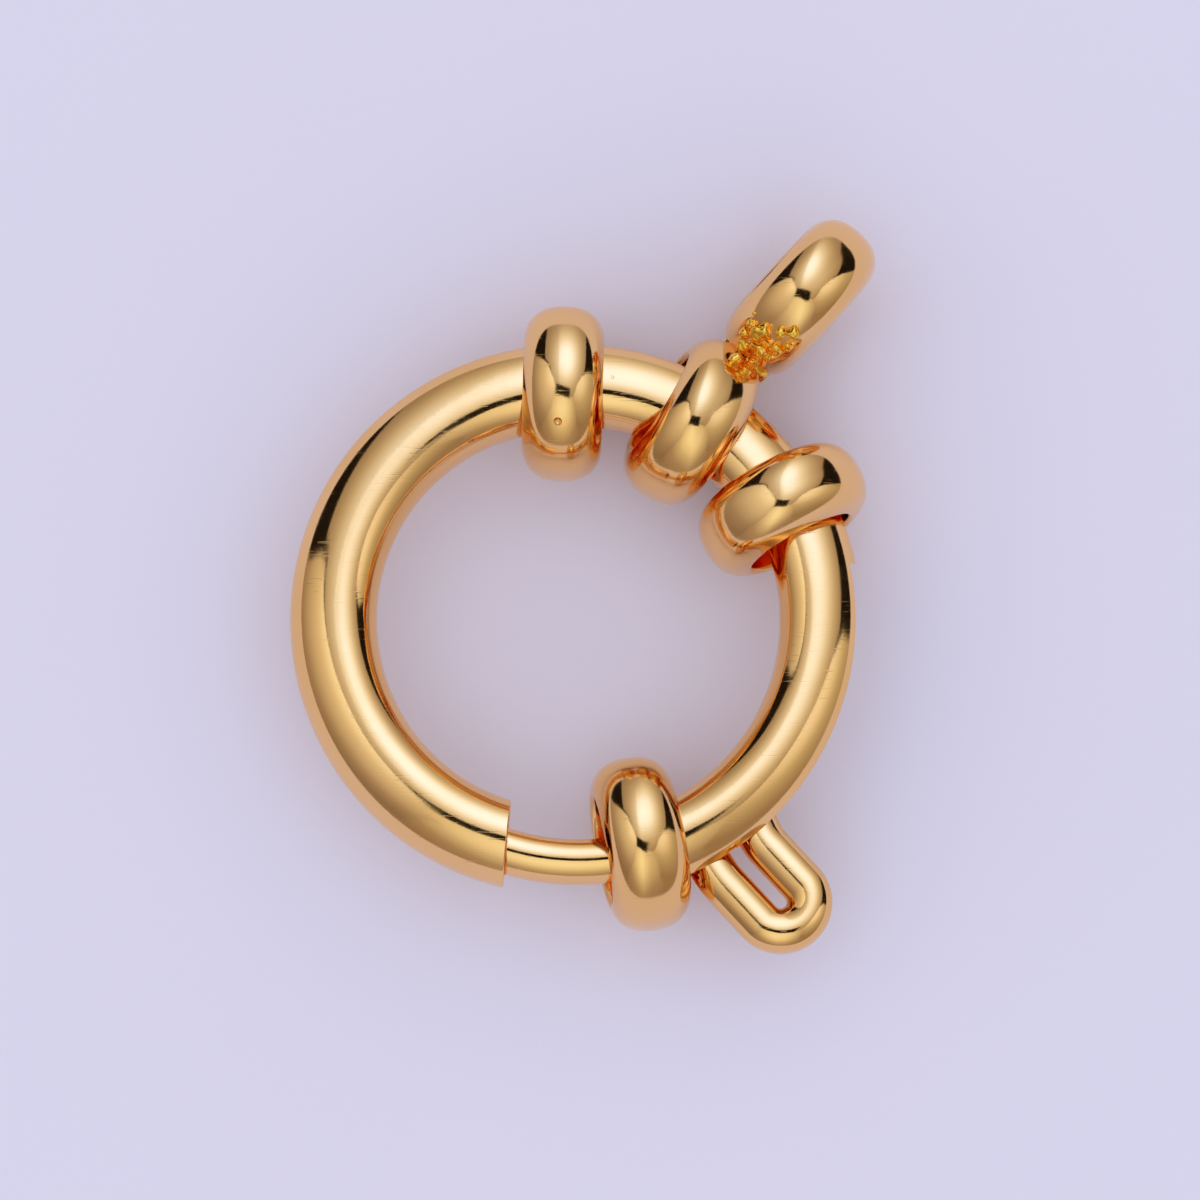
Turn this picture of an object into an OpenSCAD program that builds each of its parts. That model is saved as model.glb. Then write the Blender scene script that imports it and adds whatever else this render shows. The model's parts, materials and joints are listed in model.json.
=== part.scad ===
// Spring ring clasp of the sailor kind, in millimetres.
// A round tube is bent to a ring with one gap. A curved gate wire closes the gap. It slides round inside
// the right-hand tube against a coil spring, pulled by a trigger loop that stands out through a slot.
// Three round beads sit on the tube, and a bail of two soldered beads hangs loose on its neck.
// The ring lies in the XY plane, its centre is the origin, and the gate slides round the Z axis.

/* [Ring] */
// Radius of the circle on which the gate and the barrel are centred
slide_r = 8.52; // [7:0.01:12]
// Outside diameter of the barrel, the right-hand tube that houses the gate and the spring
barrel_d = 2.88; // [2.7:0.01:3.4]
// Bore of the barrel
barrel_bore = 2.1; // [2.04:0.01:2.3]
// Outside diameter of the neck, the stretch that carries the bail
neck_d = 2.9; // [2.6:0.01:3]
// How far the neck is bent inside the slide circle
neck_inset = 0.3; // [0.28:0.01:0.34]
// Bore of the neck, where the spring runs on to its stop
neck_bore = 1.9; // [1.8:0.01:2]
// Outside diameter of the catch tube, the left-hand tube that takes the tip of the gate
catch_d = 3.06; // [3:0.01:3.4]
// Bore of the catch tube
catch_bore = 2.4; // [2.36:0.01:2.5]
// How much tighter than the slide circle the catch tube is bent
catch_tuck = 0.38; // [0.32:0.01:0.45]
// How far the middle of the catch tube's bend lies to the left of the ring's centre
catch_shift = 0.45; // [0.38:0.01:0.5]
// Direction of the catch tube's open end, seen from the middle of its bend
catch_end_at = 255.2; // [250:0.1:260]
// How far the end cut is turned away from square across the tube
catch_end_skew = 9.3; // [0:0.1:12]

/* [Beads] */
// Outside diameter of each bead
bead_d = 6.15; // [5.8:0.01:7]
// Width of each bead along its hole
bead_w = 2.86; // [2.5:0.01:2.9]
// How much wider a bead's hole is than the catch tube
bead_play = 0.74; // [0.7:0.01:0.9]
// Gap between a tube and the side of the bead's hole that it lies against
seat_gap = 0.05; // [0.03:0.01:0.1]
// Place of the top bead round the ring, where the catch tube meets the neck
top_at = 93.8; // [92:0.1:96]
// How far the top bead is set inward, as a share of its free play
top_seat = 0.625; // [0.5:0.005:1]
// Lean of the top bead in the plane of the ring
top_lean = -5.2; // [-6:0.1:2]
// How far the barrel's mouth lies inside the left face of the gate bead
mouth_depth = 0.45; // [0.2:0.01:0.8]
// Place of the side bead round the ring, where the neck meets the barrel
side_at = 28.4; // [26:0.1:30]
// Roll of the side bead, with its lower face turned up
side_roll = -12; // [-12:0.5:0]
// Place of the gate bead round the ring, at the mouth of the barrel
gate_bead_at = -74.5; // [-76:0.1:-74]
// Lean of the gate bead in the plane of the ring
gate_bead_lean = -5.8; // [-6:0.1:2]
// Roll of the gate bead, with its left face turned up
gate_bead_roll = -6; // [-8:0.5:0]

/* [Bail] */
// Place of the bail's inner bead round the neck
bail_at = 60.2; // [58:0.1:62]
// Lean of the bail's inner bead in the plane of the ring
bail_lean = -1.5; // [-4:0.1:4]
// Roll of the bail's inner bead, with its left face turned up
bail_roll = 8; // [0:0.5:8]
// How far the bail hangs inward, as a share of its free play on the neck
bail_hang = 0.51; // [0.3:0.01:0.9]
// Distance between the middles of the bail's two beads
bail_reach = 5.82; // [5.7:0.01:5.95]
// Direction from the inner bead to the outer bead
bail_to = 48.8; // [46:0.1:56]
// Direction of the outer bead's long side
eye_turn = 47.5; // [44:0.1:56]
// Roll of the outer bead
eye_roll = 2; // [0:0.5:8]
// Diameter of the ball of solder between the two beads
solder_d = 1.7; // [1.2:0.05:2]

/* [Gate] */
// Diameter of the gate wire and of the trigger loop's wire
wire_d = 1.62; // [1.5:0.01:1.65]
// How far the gate, the trigger and the slot lie below the ring's middle plane
gate_sink = 0.17; // [0:0.01:0.19]
// How far the gate's tip reaches into the catch tube at rest
tip_reach = 0.8; // [0.5:0.05:2]
// Length of the taper at the gate's tip
tip_taper = 0.3; // [0.1:0.05:0.4]
// Length of gate wire past the trigger's second foot
wire_tail = 1.2; // [0.8:0.05:2]
// How far round the gate slides when it is drawn open, in degrees
gate_travel = 50; // [40:1:52]

/* [Trigger] */
// Place of the trigger's feet round the ring
trigger_at = -54.1; // [-55:0.1:-53]
// Direction in which the trigger's feet stand out of the gate wire
foot_dir = -66; // [-68:0.5:-60]
// Distance between the trigger's two legs, middle to middle
leg_gap = 2.02; // [1.9:0.01:2.2]
// Diameter of each foot, where it is turned down to fit the gate wire
foot_d = 0.9; // [0.7:0.01:0.95]
// Gap round each foot in its hole
foot_gap = 0.03; // [0.02:0.01:0.05]
// Length of the first straight run of the legs, from the slide circle
leg_rise = 1.05; // [0.95:0.01:2]
// Angle by which both legs are bent sideways
leg_bend = 19; // [5:0.5:25]
// Radius of that sideways bend, half way between the legs
leg_bend_r = 3.12; // [2.6:0.01:4]
// Length of the second straight run of the legs, up to the round end of the loop
leg_run = 1.67; // [1:0.01:3]

/* [Slot] */
// Gap between the trigger's legs and each lip of the slot
slot_gap = 0.07; // [0.05:0.01:0.1]
// Depth to which the slot is sawn, measured outward from the slide circle
slot_floor = 0.25; // [0.2:0.01:0.5]
// Radius of the saw that leaves a ramp at the slot's far end
saw_r = 0.9; // [0.7:0.05:1.5]

/* [Spring] */
// Diameter of the spring's own wire
spring_wire_d = 0.3; // [0.2:0.01:0.34]
// Gap between the spring and the neck's bore
spring_gap = 0.1; // [0.05:0.01:0.15]
// Number of turns
spring_turns = 24; // [12:1:30]
// Place round the neck at which the spring stops, under the punch mark
stop_at = 80.5; // [78:0.1:82]
// Diameter of the punch mark over the spring's stop
punch_d = 0.26; // [0.15:0.01:0.4]
// Depth of the punch mark
punch_depth = 0.1; // [0.05:0.01:0.2]

/* [Hidden] */
$fn = 96;
gold = [0.88, 0.66, 0.28];
steel = [0.62, 0.62, 0.64];

// Sizes worked out from the ones above
bead_edge_r = bead_w / 2;
bead_mid_r = bead_d / 2 - bead_edge_r;
bead_bore = catch_d + bead_play;
catch_r = slide_r - catch_tuck;
joint = 0.15;
overrun = 0.3;
saw_bite = 0.03;
lap = 0.05;
bend_swell = 0.01;
neck_r = slide_r - neck_inset;
slot_w = wire_d + 2 * slot_gap;
leg_side = leg_gap / 2;
bend_d = wire_d + bend_swell;

// Point at radius r and angle a round the origin
function polar(r, a) = [r * cos(a), r * sin(a)];
// Angle in degrees that an arc of length s takes on the slide circle
function turn(s) = s / slide_r * 180 / PI;

// How far a bead's centre drops inside the centreline of a curved tube of diameter d, until the tube lies
// against the outer side of the bead's hole, for a bead that rolls and leans by the given angles
function bead_drop(d, roll, lean) =
    let (reach = (bead_bore - d / cos(roll)) / 2 - seat_gap,
         climb = bead_edge_r * sin(abs(roll)),
         sag = bead_edge_r * bead_edge_r / (2 * slide_r),
         skew = bead_edge_r * sin(abs(lean)))
    min(reach, sqrt(max(0, reach * reach - climb * climb)) + sag - skew);

// Distance from the ring's centre to the catch tube's centreline in direction a
catch_mid = [-catch_shift, 0];
function catch_reach(a) = -catch_shift * cos(a) + sqrt(catch_r * catch_r - pow(catch_shift * sin(a), 2));

// Centres of the five beads
top_centre = polar(max(catch_reach(top_at) - bead_drop(catch_d, 0, 0),
                       neck_r - top_seat * bead_drop(neck_d, 0, 0)), top_at);
side_centre = polar(slide_r - bead_drop(barrel_d, side_roll, 0), side_at);
gate_centre = polar(slide_r - bead_drop(barrel_d, gate_bead_roll, gate_bead_lean), gate_bead_at);
bail_centre = polar(neck_r - bail_hang * bead_drop(neck_d, bail_roll, 0), bail_at);
eye_centre = bail_centre + polar(bail_reach, bail_to);

// Ends of the tubes
join_at = atan2(top_centre[1], top_centre[0] + catch_shift);
mouth_at = gate_bead_at - turn(bead_edge_r - mouth_depth);
catch_end = catch_mid + polar(catch_r, catch_end_at);
catch_end_polar = atan2(catch_end[1], catch_end[0]);

// The trigger's frame: its middle on the slide circle, X along the feet, Y from the first leg to the second
trigger_mid = polar(slide_r, trigger_at);
// X at which the leg with sideways place y crosses the slide circle
function crossing(y) =
    let (p = trigger_mid + polar(y, foot_dir + 90), q = p * polar(1, foot_dir))
    -q + sqrt(q * q - p * p + slide_r * slide_r);
// Angle round the ring of the leg with sideways place y, where it meets the circle of radius slide_r + out
function leg_angle(y, out) =
    let (p = trigger_mid + polar(y, foot_dir + 90) + polar(crossing(y) + out, foot_dir)) atan2(p[1], p[0]);

// The gate's two ends and the slot's two ends, as angles round the ring
tip_at = catch_end_polar - turn(tip_reach);
tail_at = leg_angle(leg_side, 0) + turn(wire_tail);
slot_side = (wire_d / 2 + slot_gap) / (slide_r + barrel_d / 2) * 180 / PI;
slot_start = leg_angle(-leg_side, barrel_d / 2) - slot_side;
slot_end = leg_angle(leg_side, slot_floor + saw_r) + slot_side + gate_travel;

// A round bar of diameter d, bent to radius r, from angle a to angle b
module bent_bar(r, d, a, b)
    rotate([0, 0, a]) rotate_extrude(angle = b - a) translate([r, 0]) circle(d = d);

// One bead with its hole along Z
module bead()
    difference() {
        rotate_extrude() translate([bead_mid_r, 0]) circle(r = bead_edge_r);
        cylinder(h = bead_w + 1, d = bead_bore, center = true);
    }

// A bead at a centre in the ring's plane, its long side in direction dir, rolled about that side
module bead_at(centre, dir, roll)
    translate(centre) rotate([0, 0, dir]) rotate([90 + roll, 0, 0]) bead();

// A block that takes in a whole catch tube, on the left side of the line through point p in direction dir
module block_left_of(p, dir)
    translate(p) rotate([0, 0, dir]) translate([-catch_d, 0, -catch_d]) cube(2 * catch_d);

// The catch tube, cut to its two ends
module catch_tube()
    translate(catch_mid) difference() {
        bent_bar(catch_r, catch_d, join_at, catch_end_at + turn(catch_d / 2));
        bent_bar(catch_r, catch_bore, join_at - turn(overrun), catch_end_at + turn(catch_d / 2 + overrun));
        block_left_of(catch_end - catch_mid, catch_end_at + catch_end_skew);
    }

// The slot along the barrel's outer side, with the ramp that the saw leaves
module slot()
    translate([0, 0, -gate_sink]) {
        rotate([0, 0, slot_start]) rotate_extrude(angle = slot_end - slot_start)
            translate([slide_r + slot_floor, -slot_w / 2]) square([barrel_d, slot_w]);
        translate(polar(slide_r + slot_floor + saw_r - saw_bite, slot_end))
            cylinder(h = slot_w, r = saw_r, center = true);
    }

// The ring in one: barrel, neck and catch tube, each end let into the next
module ring_tube()
    color(gold) difference() {
        union() {
            bent_bar(slide_r, barrel_d, mouth_at, side_at);
            bent_bar(neck_r, neck_d, side_at - turn(joint), top_at + turn(joint));
            catch_tube();
        }
        bent_bar(slide_r, barrel_bore, mouth_at - turn(overrun), side_at);
        bent_bar(slide_r, neck_bore, side_at - turn(overrun), stop_at);
        slot();
        translate(polar(neck_r, stop_at + turn(punch_d))) translate([0, 0, neck_d / 2 - punch_depth])
            cylinder(h = neck_d, d = punch_d);
    }

module top_bead()
    color(gold) bead_at(top_centre, top_at + top_lean, 0);

module side_bead()
    color(gold) bead_at(side_centre, side_at, side_roll);

module gate_bead()
    color(gold) bead_at(gate_centre, gate_bead_at + gate_bead_lean, gate_bead_roll);

// Two beads soldered rim to rim, with the ball of solder between them
module bail()
    color(gold) {
        bead_at(bail_centre, bail_at + bail_lean, bail_roll);
        bead_at(eye_centre, eye_turn, eye_roll);
        translate(bail_centre + polar(bail_reach / 2, bail_to)) sphere(d = solder_d, $fn = 48);
    }

// The curved wire that closes the gap, tapered at its tip, with a blind hole for each foot of the trigger
module gate_wire()
    color(gold) translate([0, 0, -gate_sink]) difference() {
        union() {
            bent_bar(slide_r, wire_d, tip_at + turn(tip_taper), tail_at);
            rotate([0, 0, tip_at + turn(tip_taper)]) translate([slide_r, 0, 0]) rotate([90, 0, 0])
                cylinder(h = tip_taper, d1 = wire_d, d2 = wire_d - 2 * tip_taper);
        }
        for (y = [-leg_side, leg_side])
            in_trigger_frame() translate([crossing(y) - foot_d / 4, y, 0]) rotate([0, 90, 0])
                cylinder(h = wire_d, d = foot_d + 2 * foot_gap);
    }

module in_trigger_frame()
    translate(trigger_mid) rotate([0, 0, foot_dir]) children();

// The trigger: one wire bent to a long U, both legs bent sideways and hollowed at their ends to sit round
// the gate wire, each with a thinner foot that stands in the gate wire. The wire swells a little in its bends.
module trigger_loop($fn = 48)
    color(gold) translate([0, 0, -gate_sink]) {
        difference() {
            in_trigger_frame() {
                for (y = [-leg_side, leg_side]) {
                    translate([crossing(y), y, 0]) rotate([0, 90, 0])
                        cylinder(h = leg_rise + lap - crossing(y), d = wire_d);
                    translate([leg_rise, leg_bend_r, 0]) bent_bar(leg_bend_r - y, bend_d, -90, leg_bend - 90);
                }
                translate([leg_rise, leg_bend_r, 0]) rotate([0, 0, leg_bend]) translate([0, -leg_bend_r, 0]) {
                    for (y = [-leg_side, leg_side])
                        translate([-lap, y, 0]) rotate([0, 90, 0]) cylinder(h = leg_run + 2 * lap, d = wire_d);
                    translate([leg_run, 0, 0]) bent_bar(leg_side, bend_d, -90, 90);
                }
            }
            bent_bar(slide_r, wire_d + 2 * foot_gap, tip_at, tail_at);
        }
        in_trigger_frame() for (y = [-leg_side, leg_side])
            translate([crossing(y) - foot_d / 4 + foot_gap, y, 0]) rotate([0, 90, 0])
                cylinder(h = wire_d, d = foot_d);
    }

// The coil spring inside the barrel and the neck, bent round the ring between the gate and the stop
module spring() {
    steps = 10;
    sides = 5;
    coil_r = neck_bore / 2 - spring_gap - spring_wire_d / 2;
    from_at = tail_at + turn(spring_wire_d);
    to_at = stop_at - turn(spring_wire_d);
    rings = spring_turns * steps;
    points = [for (i = [0:rings]) for (k = [0:sides - 1])
        let (a = from_at + (to_at - from_at) * i / rings,
             phase = 360 * i / steps,
             around = 360 * k / sides,
             out = coil_r + spring_wire_d / 2 * cos(around),
             along = spring_wire_d / 2 * sin(around),
             r = slide_r + out * cos(phase))
        [r * cos(a) - along * sin(a), r * sin(a) + along * cos(a), out * sin(phase)]];
    walls = [for (i = [0:rings - 1]) for (k = [0:sides - 1])
        let (n = (k + 1) % sides, p = i * sides)
        each [[p + k, p + n, p + sides + k], [p + n, p + sides + n, p + sides + k]]];
    first = [for (k = [0:sides - 1]) sides - 1 - k];
    last = [for (k = [0:sides - 1]) rings * sides + k];
    color(steel) polyhedron(points, concat([first], walls, [last]));
}

ring_tube();
top_bead();
side_bead();
gate_bead();
bail();
gate_wire();
trigger_loop();
spring();
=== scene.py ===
import json
import math

import bmesh
import bpy
import numpy as np
from bpy.props import FloatProperty, FloatVectorProperty, IntProperty, PointerProperty
from mathutils import Matrix, Vector
from mathutils.bvhtree import BVHTree
from mathutils.kdtree import KDTree


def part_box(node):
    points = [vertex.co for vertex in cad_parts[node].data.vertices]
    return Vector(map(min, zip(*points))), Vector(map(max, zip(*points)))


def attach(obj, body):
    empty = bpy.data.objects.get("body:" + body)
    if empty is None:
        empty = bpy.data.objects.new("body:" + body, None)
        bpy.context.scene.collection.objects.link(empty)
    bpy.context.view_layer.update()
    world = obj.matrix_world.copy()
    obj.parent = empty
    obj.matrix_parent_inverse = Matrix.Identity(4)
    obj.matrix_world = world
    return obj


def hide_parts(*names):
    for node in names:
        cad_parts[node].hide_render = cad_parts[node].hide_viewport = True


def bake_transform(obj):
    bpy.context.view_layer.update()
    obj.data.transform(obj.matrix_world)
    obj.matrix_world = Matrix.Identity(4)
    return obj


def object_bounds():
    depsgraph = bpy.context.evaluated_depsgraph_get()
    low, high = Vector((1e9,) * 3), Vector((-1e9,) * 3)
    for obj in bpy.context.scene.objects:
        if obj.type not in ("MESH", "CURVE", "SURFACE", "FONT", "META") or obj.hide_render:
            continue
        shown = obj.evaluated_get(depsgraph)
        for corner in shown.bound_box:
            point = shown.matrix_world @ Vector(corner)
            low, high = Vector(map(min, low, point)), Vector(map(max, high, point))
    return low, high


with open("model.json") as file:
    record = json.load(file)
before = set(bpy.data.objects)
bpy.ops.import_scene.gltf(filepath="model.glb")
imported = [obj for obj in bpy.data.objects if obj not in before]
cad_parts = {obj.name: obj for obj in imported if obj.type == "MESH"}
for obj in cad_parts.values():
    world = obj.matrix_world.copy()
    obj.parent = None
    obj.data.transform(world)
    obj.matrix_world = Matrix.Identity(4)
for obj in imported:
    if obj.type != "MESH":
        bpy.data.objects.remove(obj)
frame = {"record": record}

bl_info = {
    "name": "Spring ring clasp",
    "version": (1, 0, 0),
    "blender": (4, 5, 0),
    "location": "3D View > Sidebar > Clasp",
    "description": "Makes a gold spring ring clasp with round beads, a sliding gate and a two-bead bail",
    "category": "Add Mesh",
}

CAD_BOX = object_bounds()
RECORD = frame["record"]
MM = 0.001
WELD = 1e-7              # points closer than this are one point
STATION = 0.15 * MM      # distance between two rows of faces along a tube
WIRE_SIDES = 72          # faces round the gate wire and the trigger's wire
WIRE_LIP = 0.05 * MM     # rounding of the gate wire's ends
COIL_SIDES = 10          # faces round the spring's wire
COIL_POINTS = 24         # points in one turn of the spring
SLOT_POINTS = 90         # points along the slot's cutter, so that its walls bend with the barrel
SLOT_REACH = 4 * MM      # how far the slot's cutter reaches outward
SAW_RISE = 0.97          # height of the saw's middle over the slot's floor, as a share of its radius
SKEW_RUN = 4 * MM        # length of tube over which the skew of its end cut comes in
CORNER = 30              # an outline's corners that turn by fewer degrees than this aren't rounded
CORNER_SHARE = 0.45      # share of an outline's side that one rounded corner may take up
JOINT_LAP = 0.02         # how far the neck reaches into the barrel's end, in radians
FOOT_STARTS = (-0.10 * MM, -0.45 * MM)    # where the trigger's two legs start, from the slide circle outward

# Leans in the shading are parts of a normal, from 0 for none to 1 for a quarter turn
FULL_SIDES = 1.4         # how much flatter than round the tubes are shaded, which the light allows for
FULL_TO = 0.72           # sideways lean up to which they are
UPPER = (0.1, 0.4)       # upward lean from which a face counts as an upper one, and from which it wholly does
WALL_MATCH = 0.95        # how closely a face follows its tube's exact shape if it belongs to its long walls


def middle_of(node):
    """Middle of a CAD node's box."""
    low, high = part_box(node)
    return [(a + b) / 2 for a, b in zip(low, high)]


def place_of(rows, name):
    """Place of a joint or a mount in the record."""
    return next(row["pos_m"] for row in rows if row["name"] == name)


# Middle of each ring bead, and in degrees the direction of its long side and its roll
RING_BEADS = {
    "top_bead": (middle_of("top_bead"), 88.6, 0),
    "side_bead": (middle_of("side_bead"), 28.4, -12),
    "gate_bead": (middle_of("gate_bead"), -80.3, -6),
}
# The same for the bail's inner bead and its eye
BAIL_BEADS = {
    "inner": (place_of(RECORD["behaviour"]["joints"], "bail_swing"), 58.7, 8),
    "eye": (place_of(RECORD["mounts"], "bail_eye"), 47.5, 2),
}
# Lumps of solder on the bail, in millimetres: x and y, radius, and height over what carries the lump
SOLDER_LUMPS = [
    (6.38, 9.98, 0.36, 0.12), (6.06, 10.30, 0.20, 0.06), (6.14, 10.62, 0.12, 0.04), (5.80, 10.02, 0.20, 0.02),
    (7.44, 9.94, 0.22, 0.08), (7.02, 9.98, 0.17, 0.04), (7.28, 9.52, 0.21, 0.02), (6.84, 9.44, 0.23, 0.03),
    (6.28, 9.44, 0.30, 0.03), (5.76, 9.60, 0.24, 0.04), (5.48, 9.06, 0.27, 0.10), (5.84, 8.74, 0.20, 0.06),
    (6.12, 9.02, 0.24, 0.06), (6.56, 9.16, 0.18, 0.01),
]
SOLDER_BALL = 1.9 * MM       # diameter of the ball of solder half way between the bail's beads
SOLDER_LOWEST = 0.85 * MM    # least height of a lump's middle over the ring's plane
DROP_FROM = 10 * MM          # height from which a lump is let down on the beads

# Place and diameter in millimetres of the punch mark on the neck and of the casting pit in the top bead
PUNCH_MARK = (1.21, 8.52, 1.46, 0.26)
BEAD_PIT = (-0.69, 6.88, 2.90, 0.30)

FLOOR_HALF = 3.0             # half the width of the floor, in metres
FLOOR_GAP = 0.005 * MM       # gap between the clasp and the floor
CAMERA_OVER = (0.773 * MM, 0.703 * MM)    # place that the camera looks straight down on
MIRRORINGS = 16              # how often light is followed from one gold face to the next

LIGHT_SCALE = 4.0            # the light is painted in quarters, as a colour ramp ends at 1
# The light's panels: the middle of each, its reach, and how it fades from there, in shares of the reach with
# their colours. A place in the light is the lean, to the right and to the back, of the mirror that shows it.
PANEL_GLOWS = {
    "left": ((-0.22, 0.20), (1, 1), [
        (0.04, (1.10, 1.26, 1.42)), (0.22, (0.76, 0.79, 0.80)), (0.36, (0.57, 0.57, 0.56)),
        (0.5, (0.37, 0.33, 0.32)), (0.62, (0.27, 0.23, 0.22))]),
    "right": ((0.40, 0.15), (1, 1), [
        (0.0, (1.02, 1.12, 1.32)), (0.11, (0.95, 1.03, 1.15)), (0.18, (0.80, 0.84, 0.85)),
        (0.27, (0.57, 0.57, 0.50)), (0.36, (0.45, 0.43, 0.38)), (0.5, (0.33, 0.28, 0.24))]),
    "front": ((-0.02, -0.18), (1, 1), [
        (0.0, (1.02, 1.20, 1.22)), (0.1, (0.98, 1.09, 1.06)), (0.2, (0.82, 0.87, 0.82)),
        (0.28, (0.63, 0.64, 0.59)), (0.4, (0.41, 0.37, 0.34)), (0.55, (0.31, 0.26, 0.24))]),
    "back": ((0.08, 0.38), (0.56, 0.54), [
        (0.0, (1.32, 1.70, 3.10)), (0.24, (1.18, 1.55, 2.70)), (0.38, (0.99, 1.22, 1.70)),
        (0.5, (0.82, 0.92, 1.10)), (0.65, (0.60, 0.62, 0.64)), (0.82, (0.42, 0.39, 0.38)),
        (1.0, (0.30, 0.27, 0.27))]),
}
# The panels in their order, from the back one round by the left, the front and the right to the back again.
# Each begins at a line from straight above, 0, to the horizon, 1. Its direction there is in degrees, counted
# from the front to the right.
PANEL_EDGES = [
    ("gap", [(0, -112), (0.19, -115), (0.28, -125), (0.445, -134), (0.58, -131), (0.68, -140), (0.8, -150),
             (1, -158)]),
    ("left", [(0, -112), (0.19, -115), (0.28, -125), (0.47, -131.5), (0.6, -127), (0.76, -120), (1, -118)]),
    ("front", [(0, -110), (0.175, -103), (0.3, -60), (0.577, -56), (1, -50)]),
    ("right", [(0, 76), (0.247, 76), (0.42, 52), (0.5, 44), (1, 38)]),
    ("gap", [(0, 76), (0.25, 76), (0.34, 100), (0.38, 105), (0.49, 110), (0.64, 109), (0.75, 104), (1, 98)]),
    ("back", [(0, 76), (0.25, 76), (0.34, 100), (0.38, 105), (0.49, 110), (0.58, 112), (0.66, 121),
              (0.72, 128), (0.82, 137), (1, 146)]),
]
EDGE_SOFTNESS = 0.022                    # half the width of a panel's soft edge, in radians
GAP = (0.003, 0.0025, 0.0025, 1)         # colour of the dark gaps and of the strip
DIM = (0.1, 0.1, 0.1, 1)                 # what the back panel's left side is mixed with
DIM_FROM_TO = (-0.09, -0.11)             # lean to the right at which that begins, and at which it is complete
DIM_SHARE = 0.3                          # how much of it is mixed in
STRIP_AT = (0.0, 0.015)                  # middle of the dark strip straight above
STRIP_HALF = (0.18, 0.058)               # half its length and half its width
STRIP_TURN = math.radians(9)             # how far its right end is turned to the front
STRIP_SOFT = (0.88, 1.12)                # where its edge begins and ends, in shares of its half sizes
HORIZON = (0.165, 0.155, 0.2, 1)         # pale colour from the horizon down
HORIZON_FROM_TO = (-0.047, -0.02)        # where it begins and is complete, as a part of straight down


def length(name, default, about):
    """A size of the clasp, given here in millimetres and kept in metres."""
    return FloatProperty(name=name, description=about, default=default * MM, min=0, precision=5,
                         subtype="DISTANCE", unit="LENGTH")


def angle(name, default, about):
    """A direction or turn, given here in degrees."""
    return FloatProperty(name=name, description=about, default=math.radians(default), subtype="ANGLE",
                         unit="ROTATION")


def colour(name, default, about):
    """A surface or light colour."""
    return FloatVectorProperty(name=name, description=about, default=default, size=3, min=0, max=10,
                               subtype="COLOR")


class TubeSizes(bpy.types.PropertyGroup):
    """Sizes of the three tubes of the ring."""
    slide_radius: length("Slide radius", 8.52, "Radius on which the barrel and the gate are centred")
    barrel: length("Barrel diameter", 2.88, "Outside diameter of the slotted barrel")
    barrel_bore: length("Barrel bore", 2.1, "Bore of the barrel")
    barrel_from: angle("Barrel mouth", -81.1, "Place of the barrel's mouth round the ring")
    barrel_to: angle("Barrel end", 28.4, "Place of the barrel's end under the side bead")
    neck: length("Neck diameter", 2.9, "Outside diameter of the neck")
    neck_bore: length("Neck bore", 1.9, "Bore of the neck")
    neck_inset: length("Neck inset", 0.3, "How far the neck is bent inside the slide circle")
    neck_to: angle("Neck end", 94.8, "Place of the neck's end under the top bead")
    catch: length("Catch tube diameter", 3.06, "Outside diameter of the catch tube")
    catch_bore: length("Catch tube bore", 2.4, "Bore of the catch tube")
    catch_radius: length("Catch tube bend", 8.14, "Radius to which the catch tube is bent")
    catch_shift: length("Catch tube shift", 0.45, "How far the catch tube's bend lies to the left")
    catch_from: angle("Catch tube start", 90.56, "Place of the catch tube's start under the top bead")
    catch_to: angle("Catch tube mouth", 255.2, "Place of the catch tube's open end")
    catch_skew: angle("Catch tube cut", 9.3, "How far the open end's cut is turned away from square")
    lip: length("Lip", 0.07, "Rounding of the tubes' lips")
    crown: length("Crown inset", 0.19, "How far the bent tubes' highest line lies inside their middle")
    slot_from: angle("Slot start", -66.8, "Place of the slot's end next to the gate bead")
    slot_to: angle("Slot end", 5.8, "Place where the saw begins to leave the slot")
    slot_width: length("Slot width", 1.76, "Width of the slot")
    slot_floor: length("Slot floor", 0.25, "Depth of the slot, outward from the slide circle")
    saw: length("Saw radius", 0.9, "Radius of the saw that leaves the ramp at the slot's end")
    sides: IntProperty(name="Sides", description="Faces round a tube", default=112, min=24, max=256)


class BeadSizes(bpy.types.PropertyGroup):
    """Sizes that all five beads share."""
    diameter: length("Bead diameter", 6.15, "Outside diameter of a bead")
    width: length("Bead width", 2.86, "Width of a bead along its hole")
    hole: length("Bead hole", 3.8, "Diameter of a bead's hole")
    lip: length("Hole lip", 0.18, "Rounding of the hole's two lips")
    fullness: FloatProperty(
        name="Fullness", description="Fullness of the bead's shoulders, 2 for a plain arc", default=2.4,
        min=2, max=4)
    sides: IntProperty(name="Sides", description="Faces round a bead", default=144, min=24, max=256)


class GateSizes(bpy.types.PropertyGroup):
    """Sizes of the gate wire and its trigger loop."""
    wire: length("Wire diameter", 1.62, "Diameter of the gate wire and the trigger's wire")
    sink: length("Gate sink", 0.17, "Depth of the gate below the ring's middle plane")
    tip_at: angle("Gate tip", -113.2, "Place of the gate's tip round the ring")
    tail_at: angle("Gate tail", -39.0, "Place of the gate's tail round the ring")
    taper: length("Tip taper", 0.3, "Length of the taper at the gate's tip")
    trigger_at: angle("Trigger place", -54.1, "Place of the trigger's feet round the ring")
    foot_turn: angle("Foot direction", -66, "Direction in which the trigger's legs leave the gate wire")
    leg_gap: length("Leg distance", 2.02, "Distance between the middles of the trigger's legs")
    leg_rise: length("First run", 1.05, "Length of the legs' first straight run")
    leg_bend: angle("Leg bend", 19, "Angle by which both legs are bent sideways")
    leg_bend_radius: length("Leg bend radius", 3.12, "Radius of the sideways bend")
    leg_run: length("Second run", 1.67, "Length of the legs' second straight run")


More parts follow.
